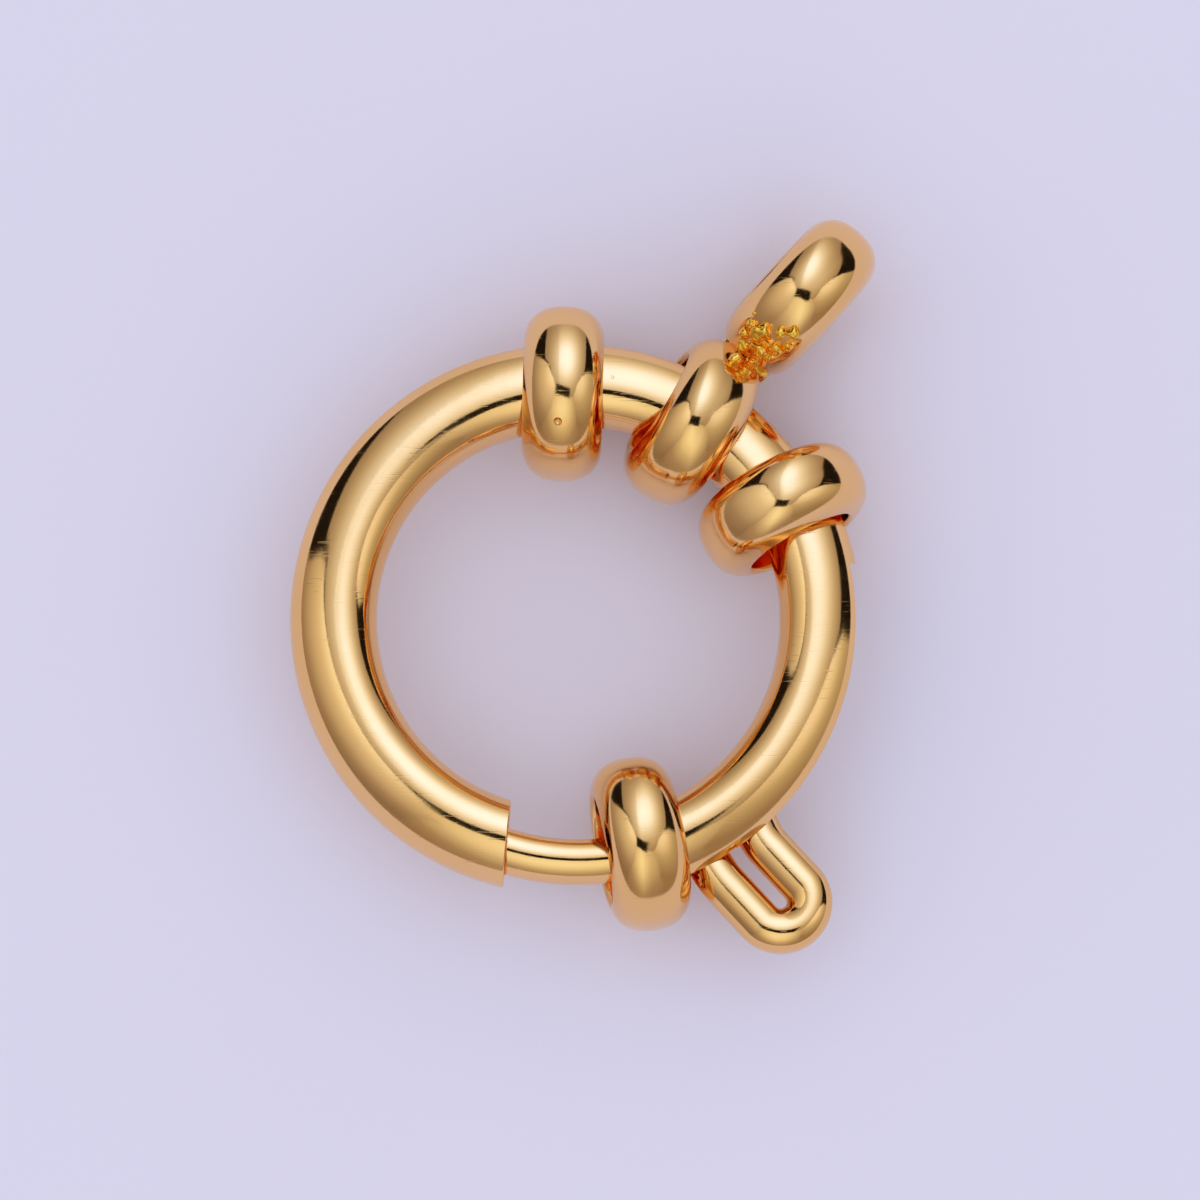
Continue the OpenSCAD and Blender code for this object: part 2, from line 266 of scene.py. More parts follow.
class SpringSizes(bpy.types.PropertyGroup):
    """Sizes of the coil spring in the barrel and the neck."""
    wire: length("Spring wire", 0.3, "Diameter of the spring's wire")
    coil: length("Coil radius", 0.7, "Radius of the coil, to the middle of its wire")
    start_at: angle("Spring start", -37.0, "Place of the spring's end at the gate")
    stop_at: angle("Spring stop", 78.5, "Place of the spring's end at its stop")
    turns: FloatProperty(name="Turns", description="Number of turns of the coil", default=24, min=4, max=60)


class GoldLook(bpy.types.PropertyGroup):
    """Finish of the polished gold."""
    metal: colour("Gold", (0.97, 0.59, 0.245), "Colour of the polished gold")
    solder: colour("Solder", (1.0, 0.56, 0.07), "Colour of the bail's solder")
    roughness: FloatProperty(
        name="Roughness", description="Roughness of the polish", default=0.085, min=0, max=1,
        subtype="FACTOR")


class StageLook(bpy.types.PropertyGroup):
    """Floor, light and camera of the studio."""
    floor: colour("Floor", (0.82, 0.80, 0.90), "Colour of the pale floor")
    daylight: colour("Daylight", (0.83, 0.83, 0.945), "Light that falls on the floor")
    strength: FloatProperty(
        name="Light", description="Strength of the soft light", default=1.0, min=0, max=10)
    tilt: angle("Tilt", 14, "Angle from straight above, towards the front, at which reflections are seen")
    camera_height: length("Camera height", 200, "Height of the camera over the ring's middle plane")
    lens: FloatProperty(
        name="Lens", description="Focal length in millimetres", default=170.7, min=10, max=500)


class ClaspSettings(bpy.types.PropertyGroup):
    """All sizes and looks of the clasp."""
    tubes: PointerProperty(type=TubeSizes)
    beads: PointerProperty(type=BeadSizes)
    gate: PointerProperty(type=GateSizes)
    spring: PointerProperty(type=SpringSizes)
    gold: PointerProperty(type=GoldLook)
    stage: PointerProperty(type=StageLook)


# Node trees

class Wiring:
    """Adds nodes to a tree. Each value is joined when it is a socket or a node, and set when it is plain."""

    def __init__(self, tree):
        self.tree = tree

    def feed(self, socket, value):
        """Join a value, or each of a list, to a socket, or set the socket to it."""
        for one in value if isinstance(value, list) else [value]:
            if isinstance(one, bpy.types.Node):
                one = next(s for s in one.outputs if s.enabled)
            if isinstance(one, bpy.types.NodeSocket):
                self.tree.links.new(one, socket)
            elif one is not None:
                socket.default_value = one

    def add(self, kind, *values, named=None, **settings):
        """A new node, with values for its first inputs in their order and for its named inputs."""
        node = self.tree.nodes.new(kind)
        for key, value in settings.items():
            setattr(node, key, value)
        for socket, value in zip(node.inputs, values):
            self.feed(socket, value)
        for key, value in (named or {}).items():
            self.feed(node.inputs[key], value)
        return node

    def math(self, operation, *values):
        return self.add("ShaderNodeMath", *values, operation=operation).outputs[0]

    def mix(self, factor, first, second):
        """Colour between first and second."""
        node = self.add("ShaderNodeMix", factor, data_type="RGBA")
        self.feed(node.inputs[6], first)
        self.feed(node.inputs[7], second)
        return node.outputs[2]

    def step(self, value, low, high):
        """Smooth step from 0 at low to 1 at high."""
        node = self.add("ShaderNodeMapRange", value, low, high, 0.0, 1.0, interpolation_type="SMOOTHSTEP")
        return node.outputs[0]

    def hypot(self, first, second):
        """Length of a line that goes as far as first and, at right angles to that, as far as second."""
        squares = [self.math("MULTIPLY", side, side) for side in (first, second)]
        return self.math("SQRT", self.math("ADD", *squares))

    def vector(self, *parts):
        return self.add("ShaderNodeCombineXYZ", *parts).outputs[0]


def shape_tree(name, inputs):
    """A Geometry Nodes tree with named inputs, its wiring and its input sockets."""
    tree = bpy.data.node_groups.new(name, "GeometryNodeTree")
    tree.interface.new_socket("Outline", in_out="INPUT", socket_type="NodeSocketGeometry")
    for label, kind in inputs:
        tree.interface.new_socket(label, in_out="INPUT", socket_type="NodeSocket" + kind)
    tree.interface.new_socket("Material", in_out="INPUT", socket_type="NodeSocketMaterial")
    tree.interface.new_socket("Geometry", in_out="OUTPUT", socket_type="NodeSocketGeometry")
    return Wiring(tree), tree.nodes.new("NodeGroupInput").outputs


def close_tree(wiring, geometry, material):
    """End a tree in plain faces with their material."""
    plain = wiring.add("GeometryNodeRealizeInstances", geometry)
    done = wiring.add("GeometryNodeSetMaterial", named={"Geometry": plain, "Material": material})
    wiring.add("NodeGroupOutput", done)
    return wiring.tree


def turned_skin(w, outline, closed, sides):
    """Turn an outline, X along the axis and Y out from it, round the X axis."""
    count = w.add("GeometryNodeAttributeDomainSize", outline, component="MESH").outputs["Point Count"]
    rows = w.math("ADD", count, closed)
    grid = w.add("GeometryNodeMeshGrid", 1.0, 1.0, rows, w.math("ADD", sides, 1.0)).outputs["Mesh"]
    place = w.add("ShaderNodeSeparateXYZ", w.add("GeometryNodeInputPosition")).outputs
    along = w.math("MULTIPLY", w.math("ADD", place[0], 0.5), w.math("SUBTRACT", rows, 1.0))
    row = w.math("MODULO", w.math("ROUND", along), count)
    around = w.math("MULTIPLY", w.math("ADD", place[1], 0.5), -math.tau)
    drawn = w.add("GeometryNodeSampleIndex", data_type="FLOAT_VECTOR", domain="POINT", named={
        "Geometry": outline, "Value": w.add("GeometryNodeInputPosition"), "Index": row})
    point = w.add("ShaderNodeSeparateXYZ", drawn).outputs
    turned = w.vector(point[0], w.math("MULTIPLY", point[1], w.math("COSINE", around)),
                      w.math("MULTIPLY", point[1], w.math("SINE", around)))
    skin = w.add("GeometryNodeSetPosition", named={"Geometry": grid, "Position": turned})
    return w.add("GeometryNodeMergeByDistance", named={"Geometry": skin, "Distance": WELD}).outputs[0]


def ring_point(w, reach, turn, height, centre_x=0.0):
    """Point at a distance and a direction round the ring, or round a centre beside the ring's own."""
    x = w.math("ADD", centre_x, w.math("MULTIPLY", reach, w.math("COSINE", turn)))
    return w.vector(x, w.math("MULTIPLY", reach, w.math("SINE", turn)), height)


def round_wire(w, path, diameter, sides):
    """A round wire along a curve, closed at both ends."""
    profile = w.add("GeometryNodeCurvePrimitiveCircle", mode="RADIUS", named={
        "Resolution": sides, "Radius": w.math("MULTIPLY", diameter, 0.5)}).outputs["Curve"]
    return w.add("GeometryNodeCurveToMesh", named={
        "Curve": path, "Profile Curve": profile, "Fill Caps": True})


def bent_tube_tree():
    """A turned tube or wire, slotted while it is straight, then bent round the ring."""
    w, given = shape_tree("Bent tube", [
        ("Closed", "Int"), ("Sides", "Int"), ("Length", "Float"), ("Bend radius", "Float"),
        ("Bend centre X", "Float"), ("Start angle", "Float"), ("Lift", "Float"), ("End skew", "Float"),
        ("Slotted", "Bool"), ("Slot from", "Float"), ("Slot to", "Float"), ("Slot width", "Float"),
        ("Slot floor", "Float"), ("Slot lift", "Float"), ("Saw radius", "Float"), ("Crown inset", "Float"),
        ("Outer radius", "Float")])
    tube = turned_skin(w, given["Outline"], given["Closed"], given["Sides"])
    long = w.math("SUBTRACT", given["Slot to"], given["Slot from"])
    block = w.vector(long, SLOT_REACH, given["Slot width"])
    groove = w.add("GeometryNodeMeshCube", block, SLOT_POINTS, 2, 2).outputs["Mesh"]
    groove = w.add("GeometryNodeTransform", named={"Geometry": groove, "Translation": w.vector(
        w.math("ADD", given["Slot from"], w.math("MULTIPLY", long, 0.5)),
        w.math("ADD", given["Slot floor"], SLOT_REACH / 2), given["Slot lift"])})
    saw = w.add("GeometryNodeMeshCylinder", 64, 1, 1, given["Saw radius"], given["Slot width"])
    rise = w.math("MULTIPLY", given["Saw radius"], SAW_RISE)
    saw = w.add("GeometryNodeTransform", named={"Geometry": saw.outputs["Mesh"], "Translation": w.vector(
        given["Slot to"], w.math("ADD", given["Slot floor"], rise), given["Slot lift"])})
    cut = w.add("GeometryNodeMeshBoolean", operation="DIFFERENCE", solver="EXACT",
                named={"Mesh 1": tube, "Mesh 2": [groove, saw]}).outputs["Mesh"]
    tube = w.add("GeometryNodeSwitch", input_type="GEOMETRY", named={
        "Switch": given["Slotted"], "False": tube, "True": cut})
    place = w.add("ShaderNodeSeparateXYZ", w.add("GeometryNodeInputPosition")).outputs
    near_end = w.step(place[0], w.math("SUBTRACT", given["Length"], SKEW_RUN), given["Length"])
    skew = w.math("MULTIPLY", w.math("TANGENT", given["End skew"]), w.math("MULTIPLY", place[1], near_end))
    turn = w.math("ADD", given["Start angle"],
                  w.math("DIVIDE", w.math("ADD", place[0], skew), given["Bend radius"]))
    height = w.math("DIVIDE", place[2], given["Outer radius"])
    inward = w.math("MULTIPLY", given["Crown inset"], w.math("MULTIPLY", height, height))
    reach = w.math("ADD", given["Bend radius"], w.math("SUBTRACT", place[1], inward))
    bent = ring_point(w, reach, turn, w.math("ADD", place[2], given["Lift"]), given["Bend centre X"])
    bent = w.add("GeometryNodeSetPosition", named={"Geometry": tube, "Position": bent})
    return close_tree(w, bent, given["Material"])


def bead_tree():
    """A turned bead, set in its place on the ring."""
    w, given = shape_tree("Bead", [("Sides", "Int"), ("Place", "Vector"), ("Turn", "Rotation")])
    bead = turned_skin(w, given["Outline"], 1.0, given["Sides"])
    placed = w.add("GeometryNodeTransform", named={
        "Geometry": bead, "Translation": given["Place"], "Rotation": given["Turn"]})
    return close_tree(w, placed, given["Material"])


def wire_tree():
    """A round wire along a drawn path."""
    w, given = shape_tree("Wire on a path", [("Diameter", "Float"), ("Sides", "Int")])
    path = w.add("GeometryNodeMeshToCurve", given["Outline"])
    return close_tree(w, round_wire(w, path, given["Diameter"], given["Sides"]), given["Material"])


def spring_tree():
    """A coil that follows the ring from the gate's tail to the stop."""
    w, given = shape_tree("Coil spring", [
        ("Wire diameter", "Float"), ("Coil radius", "Float"), ("Turns", "Float"), ("Slide radius", "Float"),
        ("Start angle", "Float"), ("End angle", "Float")])
    sweep = w.math("SUBTRACT", given["End angle"], given["Start angle"])
    coil = w.add("GeometryNodeCurveSpiral", COIL_POINTS, given["Turns"], given["Coil radius"],
                 given["Coil radius"], 1.0)
    place = w.add("ShaderNodeSeparateXYZ", w.add("GeometryNodeInputPosition")).outputs
    turn = w.math("ADD", given["Start angle"], w.math("MULTIPLY", sweep, place[2]))
    bent = ring_point(w, w.math("ADD", given["Slide radius"], place[0]), turn, place[1])
    coil = w.add("GeometryNodeSetPosition", named={"Geometry": coil, "Position": bent})
    return close_tree(w, round_wire(w, coil, given["Wire diameter"], COIL_SIDES), given["Material"])


def solder_tree():
    """Solder that has run together from a lump at each drawn point, as large as the point says."""
    w, given = shape_tree("Solder", [
        ("Voxel", "Float"), ("Lump size", "Float"), ("Lump height", "Float"), ("Blur", "Int")])
    radius = w.add("GeometryNodeInputNamedAttribute", "drop", data_type="FLOAT").outputs["Attribute"]
    lumps = w.add("GeometryNodeMeshToPoints", mode="VERTICES", named={
        "Mesh": given["Outline"], "Radius": radius})
    cloud = w.add("GeometryNodePointsToVolume", resolution_mode="VOXEL_SIZE", named={
        "Points": lumps, "Voxel Size": given["Voxel"], "Radius": radius})
    skin = w.add("GeometryNodeVolumeToMesh", resolution_mode="VOXEL_SIZE", named={
        "Volume": cloud, "Voxel Size": given["Voxel"], "Threshold": 0.1})
    soft = w.add("GeometryNodeBlurAttribute", data_type="FLOAT_VECTOR", named={
        "Value": w.add("GeometryNodeInputPosition"), "Iterations": given["Blur"]}).outputs[0]
    skin = w.add("GeometryNodeSetPosition", named={"Geometry": skin, "Position": soft})
    crust = w.add("ShaderNodeTexNoise", named={
        "Scale": w.math("DIVIDE", 1.0, given["Lump size"]), "Detail": 0.5})
    push = w.math("MULTIPLY", w.math("SUBTRACT", crust.outputs[0], 0.5), given["Lump height"])
    offset = w.add("ShaderNodeVectorMath", operation="SCALE",
                   named={"Vector": w.add("GeometryNodeInputNormal"), "Scale": push})
    skin = w.add("GeometryNodeSetPosition", named={"Geometry": skin, "Offset": offset})
    return close_tree(w, skin, given["Material"])


def pit_tree():
    """A piece with a small round pit."""
    w, given = shape_tree("Pit", [("Place", "Vector"), ("Radius", "Float")])
    ball = w.add("GeometryNodeMeshIcoSphere", given["Radius"], 3).outputs["Mesh"]
    ball = w.add("GeometryNodeTransform", named={"Geometry": ball, "Translation": given["Place"]})
    pitted = w.add("GeometryNodeMeshBoolean", operation="DIFFERENCE", solver="EXACT",
                   named={"Mesh 1": given["Outline"], "Mesh 2": ball}).outputs["Mesh"]
    return close_tree(w, pitted, given["Material"])


# Outlines, paths and meshes

def eased(points, radius, closed=True, steps=5):
    """The outline with each sharp corner rounded to the radius."""
    out, count = [], len(points)
    for i, corner in enumerate(points):
        if not closed and i in (0, count - 1):
            out.append(corner)
            continue
        back, ahead = points[i - 1] - corner, points[(i + 1) % count] - corner
        bend = math.pi - back.angle(ahead)
        if bend < math.radians(CORNER):
            out.append(corner)
            continue
        reach = min(radius * math.tan(bend / 2), CORNER_SHARE * back.length, CORNER_SHARE * ahead.length)
        size = reach / math.tan(bend / 2)
        first, last = corner + back.normalized() * reach, corner + ahead.normalized() * reach
        middle = corner + (back.normalized() + ahead.normalized()).normalized() * size / math.cos(bend / 2)
        out += [middle + (first - middle).normalized().slerp((last - middle).normalized(), k / steps) * size
                for k in range(steps + 1)]
    return out


def divided(points, step, closed=True):
    """The outline with its long straight parts split into equal steps."""
    out, count = [], len(points)
    for i in range(count if closed else count - 1):
        here, there = points[i], points[(i + 1) % count]
        parts = max(1, round((there - here).length / step)) if (there - here).length > 1.5 * step else 1
        out += [here.lerp(there, k / parts) for k in range(parts)]
    return out if closed else out + [points[-1]]


def tube_outline(long, outside, bore, lip):
    """Section of a tube's wall: X along the tube and Y out from its middle."""
    corners = [Vector((x, y, 0)) for x, y in (
        (0, outside / 2), (long, outside / 2), (long, bore / 2), (0, bore / 2))]
    return divided(eased(corners, lip), STATION)


def wire_outline(long, across, taper, lip):
    """Half of a wire's section, from the middle of one end to the middle of the other."""
    corners = [Vector((x, y, 0)) for x, y in (
        (0, 0), (0, across / 2 - taper), (taper, across / 2), (long, across / 2), (long, 0))]
    return divided(eased(corners, lip, closed=False), STATION, closed=False)


def bead_outline(sizes):
    """Section of a bead: full rounded shoulders, the two rounded lips and the straight wall of the hole."""
    edge, hole, lip = sizes.width / 2, sizes.hole / 2, sizes.lip
    middle = sizes.diameter / 2 - edge
    power = 2 / sizes.fullness
    steps = 84
    spread = math.acos(((hole + lip - middle) / edge) ** (1 / power))
    side = []
    for k in range(steps + 1):
        a = spread * (2 * k / steps - 1)
        side.append(Vector((math.copysign(edge * abs(math.sin(a)) ** power, a),
                            middle + edge * math.cos(a) ** power, 0)))
    rim = side[-1].x - lip
    turns = [math.pi / 2 * k / 6 for k in range(1, 7)]
    right = [Vector((rim + lip * math.cos(a), hole + lip - lip * math.sin(a), 0)) for a in turns]
    left = [Vector((-p.x, p.y, 0)) for p in reversed(right)]
    return divided(side + right + left, 2 * STATION)


def trigger_path(gate, slide_radius):
    """Middle line of the trigger's wire, from one foot up a leg, round the loop and down the other leg."""
    side = gate.leg_gap / 2
    frame_of_feet = (Matrix.Rotation(gate.trigger_at, 4, "Z")
                     @ Matrix.Translation((slide_radius, 0, -gate.sink))
                     @ Matrix.Rotation(gate.foot_turn - gate.trigger_at, 4, "Z"))

    def arc(centre, radius, start, end, steps):
        return [Vector((centre.x + radius * math.cos(a), centre.y + radius * math.sin(a), 0))
                for a in (start + (end - start) * k / steps for k in range(steps + 1))]

    quarter = math.pi / 2
    pivot = Vector((gate.leg_rise, gate.leg_bend_radius, 0))
    onward = Matrix.Translation(pivot) @ Matrix.Rotation(gate.leg_bend, 4, "Z") @ Matrix.Translation(
        (0, -gate.leg_bend_radius, 0))
    legs = {}
    for y, foot in zip((-side, side), FOOT_STARTS):
        rise = [Vector((foot + (gate.leg_rise - foot) * k / 12, y, 0)) for k in range(12)]
        bend = arc(pivot, gate.leg_bend_radius - y, -quarter, gate.leg_bend - quarter, 14)
        run = [onward @ Vector((gate.leg_run * k / 10, y, 0)) for k in range(1, 10)]
        legs[y] = rise + bend + run
    loop = [onward @ p for p in arc(Vector((gate.leg_run, 0, 0)), side, -quarter, quarter, 40)]
    return [frame_of_feet @ p for p in legs[-side] + loop + legs[side][::-1]]


def grown(name, points, closed, tree, values):
    """Run a tree on a drawn outline, and keep the result as a plain mesh object in its place. Points with a
    fourth value are loose, and carry it as the size of their drop."""
    count, loose = len(points), len(points[0]) == 4
    edges = [] if loose else [(i, (i + 1) % count) for i in range(count if closed else count - 1)]
    drawn = bpy.data.meshes.new(name + "_drawn")
    drawn.from_pydata([tuple(p)[:3] for p in points], edges, [])
    if loose:
        drawn.attributes.new("drop", "FLOAT", "POINT").data.foreach_set("value", [p[3] for p in points])
    piece = bpy.data.objects.new(name, drawn)
    bpy.context.scene.collection.objects.link(piece)
    return shaped(piece, tree, values)


def shaped(piece, tree, values):
    """Run a tree on a piece's mesh, and keep the result as the piece's plain mesh."""
    before = piece.data
    modifier = piece.modifiers.new("Shape", "NODES")
    modifier.node_group = tree
    for item in tree.interface.items_tree:
        if item.in_out == "INPUT" and item.name in values:
            modifier[item.identifier] = values[item.name]
    graph = bpy.context.evaluated_depsgraph_get()
    mesh = bpy.data.meshes.new_from_object(piece.evaluated_get(graph), depsgraph=graph)
    if not mesh.polygons:
        raise RuntimeError(piece.name + " came out empty")
    piece.modifiers.clear()
    piece.data = mesh
    mesh.name = piece.name
    bpy.data.meshes.remove(before)
    return piece


def pitted(piece, x, y, z, across):
    """Cut a small round pit at a place given in millimetres."""
    shaped(piece, pit_tree(), {
        "Place": (x * MM, y * MM, z * MM), "Radius": across / 2 * MM, "Material": gold()})
    tidy_faces(piece)


def tidy_faces(piece, sharp=35):
    """Merge doubles, point the faces outwards and shade smoothly up to an angle in degrees."""
    work = bmesh.new()
    work.from_mesh(piece.data)
    bmesh.ops.remove_doubles(work, verts=work.verts, dist=WELD)
    bmesh.ops.dissolve_degenerate(work, edges=work.edges, dist=WELD)
    bmesh.ops.recalc_face_normals(work, faces=work.faces)
    work.to_mesh(piece.data)
    work.free()
    piece.data.shade_smooth()
    piece.data.set_sharp_from_angle(angle=math.radians(sharp))


def corner_shading(mesh):
    """For each face corner of a mesh, its point's number and its shading normal."""
    corner = np.empty(len(mesh.loops), np.int32)
    mesh.loops.foreach_get("vertex_index", corner)
    shaded = np.empty(len(mesh.loops) * 3)
    mesh.corner_normals.foreach_get("vector", shaded)
    return corner, shaded.reshape(-1, 3)


def unit(rows):
    """Vectors with their length made 1."""
    return rows / np.maximum(np.linalg.norm(rows, axis=1, keepdims=True), 1e-9)


def path_leans(mesh, path, tilt):
    """For each point of a tube, how far the tilt leans its shading along the tube's path."""
    tree = KDTree(len(path))
    for i, point in enumerate(path):
        tree.insert(point, i)
    tree.balance()
    last = len(path) - 1
    runs = [(path[min(i + 1, last)] - path[max(i - 1, 0)]).normalized() for i in range(last + 1)]
    nearest = [runs[tree.find(v.co)[1]] for v in mesh.vertices]
    return np.array([run * run.y for run in nearest]) * math.sin(tilt)


def flatter_sides(shaded):
    """The shading of a tube, made flatter from side to side than a round one's."""
    side = np.abs(shaded[:, 0])
    flatter = np.where(side < FULL_TO, FULL_TO * (side / FULL_TO) ** FULL_SIDES, side)
    rest = np.sqrt(np.maximum(1 - flatter ** 2, 0) / np.maximum(1 - side ** 2, 1e-9))
    return np.column_stack([np.sign(shaded[:, 0]) * flatter, shaded[:, 1:] * rest[:, None]])


def seen_from_front(shaded, tilt):
    """The shading of the upper faces, turned by what moves their mirror images by the tilt."""
    x, y, z = shaded.T
    back_y, back_z = 2 * z * y, 2 * z * z - 1
    turned = unit(np.column_stack([
        2 * z * x, back_y * math.cos(tilt) - back_z * math.sin(tilt),
        back_y * math.sin(tilt) + back_z * math.cos(tilt) + 1]))
    share = np.clip((z - UPPER[0]) / (UPPER[1] - UPPER[0]), 0, 1)[:, None]
    return unit(shaded * (1 - share) + turned * share)


def tilted_shine(piece, tilt, path=()):
    """Shade a piece as if the clasp and its floor were seen by the tilt from the front. A tube or a wire is
    given with its path. It is leaned along that, and made flatter from side to side."""
    corner, shaded = corner_shading(piece.data)
    if path:
        leans = path_leans(piece.data, path, tilt)[corner]
        shaded = flatter_sides(unit(shaded + leans * np.sign(shaded[:, 2:])))
    piece.data.normals_split_custom_set(seen_from_front(shaded, tilt).tolist())


def ring_arc(centre_x, radius, start, end, height=0.0, steps=200):
    """Points along an arc round the ring."""
    return [Vector((centre_x + radius * math.cos(a), radius * math.sin(a), height))
            for a in (start + (end - start) * k / steps for k in range(steps + 1))]


def true_round(piece, centre_x, bend_radius, crown, outer_radius):
    """Shade a bent tube's long walls by their exact shape, also next to a cut."""
    mesh = piece.data
    corner, shaded = corner_shading(mesh)
    points = np.empty(len(mesh.vertices) * 3)
    mesh.vertices.foreach_get("co", points)
    points = points.reshape(-1, 3)[corner] - (centre_x, 0, 0)
    flat = np.empty(len(mesh.polygons) * 3)
    mesh.polygons.foreach_get("normal", flat)
    sizes = np.empty(len(mesh.polygons), np.int32)
    mesh.polygons.foreach_get("loop_total", sizes)
    flat = np.repeat(flat.reshape(-1, 3), sizes, axis=0)
    reach = np.linalg.norm(points[:, :2], axis=1)
    height = points[:, 2]
    across = reach - bend_radius + crown * (height / outer_radius) ** 2
    rise = height + 2 * crown * height / outer_radius ** 2 * across
    out = unit(np.column_stack([points[:, :2] / reach[:, None] * across[:, None], rise]))
    facing = (out * flat).sum(axis=1)
    wall = np.abs(facing) > WALL_MATCH
    shaded[wall] = out[wall] * np.sign(facing[wall])[:, None]
    mesh.normals_split_custom_set(shaded.tolist())


def keep(piece, body, node):
    """Hide the CAD node that a finished piece stands for, and attach the piece to what it moves with."""
    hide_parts(node)
    if body:
        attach(piece, body)


# Finishes

def surface(name):
    """A new material, its wiring and its shader."""
    material = bpy.data.materials.new(name)
    material.use_nodes = True
    w = Wiring(material.node_tree)
    return material, w, material.node_tree.nodes["Principled BSDF"]


def gold_finish(name, metal, roughness, wave, grain):
    """Polished gold: a slightly uneven surface, fine scratches and a varying polish. Wave and grain are the
    heights in metres of its slow swell and of its scratches."""
    material, w, shader = surface(name)
    place = w.add("ShaderNodeTexCoord").outputs["Object"]
    swell = w.add("ShaderNodeTexNoise", named={"Vector": place, "Scale": 420.0, "Detail": 2.0}).outputs[0]
    speck = w.add("ShaderNodeTexNoise", named={"Vector": place, "Scale": 9000.0, "Detail": 2.0}).outputs[0]
    heights = w.add("ShaderNodeBump", named={"Height": swell, "Distance": wave, "Strength": 1.0})
    for turn, scale in (((0.3, 0.1, 0.5), (900, 16000, 900)), ((0.9, 0.6, 2.1), (700, 14000, 700))):
        streak = w.add("ShaderNodeMapping", named={"Vector": place, "Rotation": turn, "Scale": scale})
        line = w.add("ShaderNodeTexNoise", named={"Vector": streak, "Scale": 1.0, "Detail": 1.0}).outputs[0]
        line = w.step(line, 0.66, 0.74)
        heights = w.add("ShaderNodeBump", named={
            "Height": line, "Distance": -grain, "Strength": 1.0, "Normal": heights})
    heights = w.add("ShaderNodeBump", named={
        "Height": speck, "Distance": grain, "Strength": 1.0, "Normal": heights})
    polish = w.add("ShaderNodeTexNoise", named={"Vector": place, "Scale": 1300.0, "Detail": 4.0}).outputs[0]
    rough = w.add("ShaderNodeMapRange", polish, 0.3, 0.7, roughness * 0.7, roughness * 1.5).outputs[0]
    tone = w.add("ShaderNodeTexNoise", named={"Vector": place, "Scale": 260.0, "Detail": 1.0}).outputs[0]
    warm = tuple(c * k for c, k in zip(metal, (0.97, 0.94, 0.86))) + (1,)
    w.feed(shader.inputs["Base Color"], w.mix(w.step(tone, 0.3, 0.7), tuple(metal) + (1,), warm))
    w.feed(shader.inputs["Roughness"], rough)
    w.feed(shader.inputs["Normal"], heights)
    shader.inputs["Metallic"].default_value = 1.0
    return material


def steel_finish():
    """Drawn spring steel with faint lines from the die."""
    material, w, shader = surface("spring_steel")
    place = w.add("ShaderNodeTexCoord").outputs["Object"]
    drawn = w.add("ShaderNodeTexNoise", named={"Vector": place, "Scale": 5200.0, "Detail": 3.0}).outputs[0]
    rough = w.add("ShaderNodeMapRange", drawn, 0.3, 0.7, 0.22, 0.42).outputs[0]
    w.feed(shader.inputs["Base Color"], w.mix(drawn, (0.46, 0.46, 0.47, 1), (0.62, 0.61, 0.6, 1)))
    w.feed(shader.inputs["Roughness"], rough)
    w.feed(shader.inputs["Normal"], w.add("ShaderNodeBump", named={"Height": drawn, "Distance": 2e-6}))
    shader.inputs["Metallic"].default_value = 1.0
    return material


def floor_finish(look):
    """Pale floor with the faint grain of a fine cloth."""
    material, w, shader = surface("floor")
    place = w.add("ShaderNodeTexCoord").outputs["Object"]
    grain = w.add("ShaderNodeTexNoise", named={"Vector": place, "Scale": 60.0, "Detail": 4.0}).outputs[0]
    pale = tuple(look) + (1,)
    w.feed(shader.inputs["Base Color"], w.mix(grain, pale, tuple(c * 0.985 for c in look) + (1,)))
    shader.inputs["Roughness"].default_value = 0.9
    shader.inputs["Specular IOR Level"].default_value = 0.0
    return material


GOLD = {}


def gold(kind="gold"):
    """The gold of the clasp, or its solder, made once."""
    if kind not in GOLD:
        look = bpy.context.scene.clasp.gold
        if kind == "gold":
            GOLD[kind] = gold_finish("gold", look.metal, look.roughness, wave=7e-6, grain=0.7e-6)
        else:
            GOLD[kind] = gold_finish("solder_gold", look.solder, look.roughness * 1.2, wave=9e-6, grain=2e-6)
    return GOLD[kind]


# Light

def edge_curve(w, distance, points):
    """A line of the light's outline. Its direction changes outward from straight above, by points that give
    it in degrees."""
    node = w.add("ShaderNodeFloatCurve", 1.0, distance)
    curve = node.mapping.curves[0]
    pairs = [(r, (turn + 180) / 360) for r, turn in points]
    curve.points[0].location, curve.points[1].location = pairs[0], pairs[-1]
    for pair in pairs[1:-1]:
        curve.points.new(*pair)
    for point in curve.points:
        point.handle_type = "VECTOR"
    node.mapping.update()
    return w.math("MULTIPLY_ADD", node.outputs[0], math.tau, -math.pi)


def glow(w, u, v, middle, reach, stops):
    """Light that fades from its middle: each stop is a distance, in shares of the reach, and a colour."""
    far = w.hypot(*(w.math("DIVIDE", w.math("SUBTRACT", here, centre), whole)
                    for here, centre, whole in zip((u, v), middle, reach)))
    node = w.add("ShaderNodeValToRGB", far)
    ramp = node.color_ramp
    while len(ramp.elements) < len(stops):
        ramp.elements.new(1.0)
    for element, (place, colour_there) in zip(ramp.elements, stops):
        element.position = place
        element.color = tuple(c / LIGHT_SCALE for c in colour_there) + (1,)
    return node.outputs[0]


